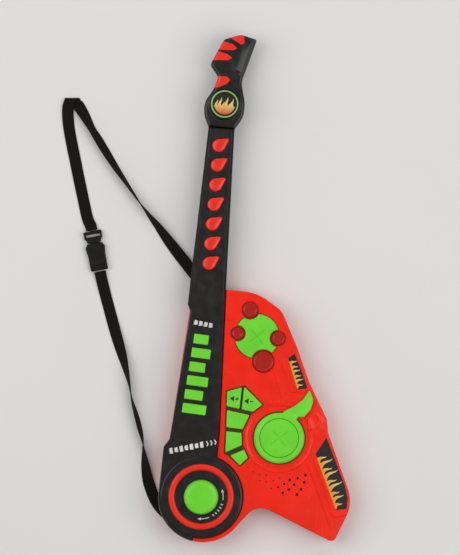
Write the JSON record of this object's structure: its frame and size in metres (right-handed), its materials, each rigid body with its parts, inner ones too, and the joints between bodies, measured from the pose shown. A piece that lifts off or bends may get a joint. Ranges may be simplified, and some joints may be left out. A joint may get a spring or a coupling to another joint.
{
  "type": "toy electric guitar",
  "caption": "Toy electric guitar with push keys and pads along the neck and panel, a sprung lever round a drum pad, a rotary knob and a buckled webbing strap.",
  "frame": {"origin": "on the flat back that the guitar rests on, below the neck's centreline at the power knob's level", "axes": "+X right seen from the front, +Y along the neck to the head, +Z out of the front face"},
  "size_m": [0.4189, 0.6619, 0.0561],
  "materials": {
    "red_plastic": "glossy moulded, tomato red",
    "black_plastic": "satin to glossy moulded, warm black",
    "green_plastic": "glossy moulded, bright yellow-green",
    "lens": "glossy, clear dark red",
    "flame_print": "printed film, orange to yellow on black",
    "webbing": "matte woven polyester, black",
    "circuit_board": "satin solder mask, green",
    "silicone": "matte translucent grey",
    "steel": "zinc plated, satin",
    "cell_wrap": "glossy shrink film"
  },
  "bodies": {
    "guitar": {"body_back_shell": "red_plastic", "body_front_shell": "red_plastic", "neck_back_shell": "black_plastic", "neck_front_shell": "black_plastic", "head_front_shell": "black_plastic", "knob_ring": "red_plastic", "rotary_switch": "black_plastic", "head_flame_1": "red_plastic", "head_flame_2": "red_plastic", "head_flame_3": "red_plastic", "head_flame_4": "red_plastic", "badge_ring": "green_plastic", "badge_label": "flame_print", "flame_label_upper": "flame_print", "flame_label_lower": "flame_print", "light_lens_1": "lens", "light_lens_2": "lens", "light_lens_3": "lens", "light_lens_4": "lens", "speaker": "black_plastic", "main_board": "circuit_board", "panel_board": "circuit_board", "neck_board": "circuit_board", "solo_key_mat": "silicone", "fret_key_mat": "silicone", "battery_1": "cell_wrap", "battery_2": "cell_wrap", "battery_3": "cell_wrap", "contact_plate_lower": "steel", "contact_plate_upper": "steel", "battery_cover": "red_plastic", "battery_cover_screw": "steel", "strap_upper": "webbing", "strap_lower": "webbing", "buckle_plug": "black_plastic", "buckle_socket": "black_plastic", "strap_loop_neck": "black_plastic", "strap_bar_tail": "black_plastic"},
    "fret_key_1": {"fret_key_1": "red_plastic"},
    "fret_key_2": {"fret_key_2": "red_plastic"},
    "fret_key_3": {"fret_key_3": "red_plastic"},
    "fret_key_4": {"fret_key_4": "red_plastic"},
    "fret_key_5": {"fret_key_5": "red_plastic"},
    "fret_key_6": {"fret_key_6": "red_plastic"},
    "fret_key_7": {"fret_key_7": "red_plastic"},
    "solo_key_1": {"solo_key_1": "green_plastic"},
    "solo_key_2": {"solo_key_2": "green_plastic"},
    "solo_key_3": {"solo_key_3": "green_plastic"},
    "solo_key_4": {"solo_key_4": "green_plastic"},
    "solo_key_5": {"solo_key_5": "green_plastic"},
    "solo_key_6": {"solo_key_6": "green_plastic"},
    "volume_up_key": {"volume_up_key": "green_plastic"},
    "volume_down_key": {"volume_down_key": "green_plastic"},
    "rhythm_pad_1": {"rhythm_pad_1": "green_plastic"},
    "rhythm_pad_2": {"rhythm_pad_2": "green_plastic"},
    "rhythm_pad_3": {"rhythm_pad_3": "green_plastic"},
    "light_pad": {"light_pad": "green_plastic"},
    "drum_pad": {"drum_pad": "green_plastic"},
    "whammy_lever": {"whammy_lever": "green_plastic"},
    "power_knob": {"power_knob": "green_plastic"}
  },
  "joints": [
    {"name": "fret_key_1_press", "type": "slide", "parent": "guitar", "child": "fret_key_1", "axis": [0, 0, -1], "range_m": [0, 0.0015], "stiffness_N_per_m": 400},
    {"name": "fret_key_2_press", "type": "slide", "parent": "guitar", "child": "fret_key_2", "axis": [0, 0, -1], "range_m": [0, 0.0015], "stiffness_N_per_m": 400},
    {"name": "fret_key_3_press", "type": "slide", "parent": "guitar", "child": "fret_key_3", "axis": [0, 0, -1], "range_m": [0, 0.0015], "stiffness_N_per_m": 400},
    {"name": "fret_key_4_press", "type": "slide", "parent": "guitar", "child": "fret_key_4", "axis": [0, 0, -1], "range_m": [0, 0.0015], "stiffness_N_per_m": 400},
    {"name": "fret_key_5_press", "type": "slide", "parent": "guitar", "child": "fret_key_5", "axis": [0, 0, -1], "range_m": [0, 0.0015], "stiffness_N_per_m": 400},
    {"name": "fret_key_6_press", "type": "slide", "parent": "guitar", "child": "fret_key_6", "axis": [0, 0, -1], "range_m": [0, 0.0015], "stiffness_N_per_m": 400},
    {"name": "fret_key_7_press", "type": "slide", "parent": "guitar", "child": "fret_key_7", "axis": [0, 0, -1], "range_m": [0, 0.0015], "stiffness_N_per_m": 400},
    {"name": "solo_key_1_press", "type": "slide", "parent": "guitar", "child": "solo_key_1", "axis": [0, 0, -1], "range_m": [0, 0.0015], "stiffness_N_per_m": 400},
    {"name": "solo_key_2_press", "type": "slide", "parent": "guitar", "child": "solo_key_2", "axis": [0, 0, -1], "range_m": [0, 0.0015], "stiffness_N_per_m": 400},
    {"name": "solo_key_3_press", "type": "slide", "parent": "guitar", "child": "solo_key_3", "axis": [0, 0, -1], "range_m": [0, 0.0015], "stiffness_N_per_m": 400},
    {"name": "solo_key_4_press", "type": "slide", "parent": "guitar", "child": "solo_key_4", "axis": [0, 0, -1], "range_m": [0, 0.0015], "stiffness_N_per_m": 400},
    {"name": "solo_key_5_press", "type": "slide", "parent": "guitar", "child": "solo_key_5", "axis": [0, 0, -1], "range_m": [0, 0.0015], "stiffness_N_per_m": 400},
    {"name": "solo_key_6_press", "type": "slide", "parent": "guitar", "child": "solo_key_6", "axis": [0, 0, -1], "range_m": [0, 0.0015], "stiffness_N_per_m": 400},
    {"name": "volume_up_key_press", "type": "slide", "parent": "guitar", "child": "volume_up_key", "axis": [0, 0, -1], "range_m": [0, 0.0015], "stiffness_N_per_m": 400},
    {"name": "volume_down_key_press", "type": "slide", "parent": "guitar", "child": "volume_down_key", "axis": [0, 0, -1], "range_m": [0, 0.0015], "stiffness_N_per_m": 400},
    {"name": "rhythm_pad_1_press", "type": "slide", "parent": "guitar", "child": "rhythm_pad_1", "axis": [0, 0, -1], "range_m": [0, 0.0015], "stiffness_N_per_m": 400},
    {"name": "rhythm_pad_2_press", "type": "slide", "parent": "guitar", "child": "rhythm_pad_2", "axis": [0, 0, -1], "range_m": [0, 0.0015], "stiffness_N_per_m": 400},
    {"name": "rhythm_pad_3_press", "type": "slide", "parent": "guitar", "child": "rhythm_pad_3", "axis": [0, 0, -1], "range_m": [0, 0.0015], "stiffness_N_per_m": 400},
    {"name": "light_pad_press", "type": "slide", "parent": "guitar", "child": "light_pad", "axis": [0, 0, -1], "range_m": [0, 0.0015], "stiffness_N_per_m": 400},
    {"name": "drum_pad_press", "type": "slide", "parent": "guitar", "child": "drum_pad", "axis": [0, 0, -1], "range_m": [0, 0.0015], "stiffness_N_per_m": 400},
    {"name": "whammy_turn", "type": "hinge", "parent": "guitar", "child": "whammy_lever", "pos_m": [0.1077, 0.0842, 0.04], "axis": [0, 0, 1], "range_deg": [-12, 12], "stiffness_Nm_per_rad": 0.5},
    {"name": "knob_turn", "type": "hinge", "parent": "guitar", "child": "power_knob", "pos_m": [0.013, 0, 0.045], "axis": [0, 0, 1], "range_deg": [-45, 45]}
  ]
}
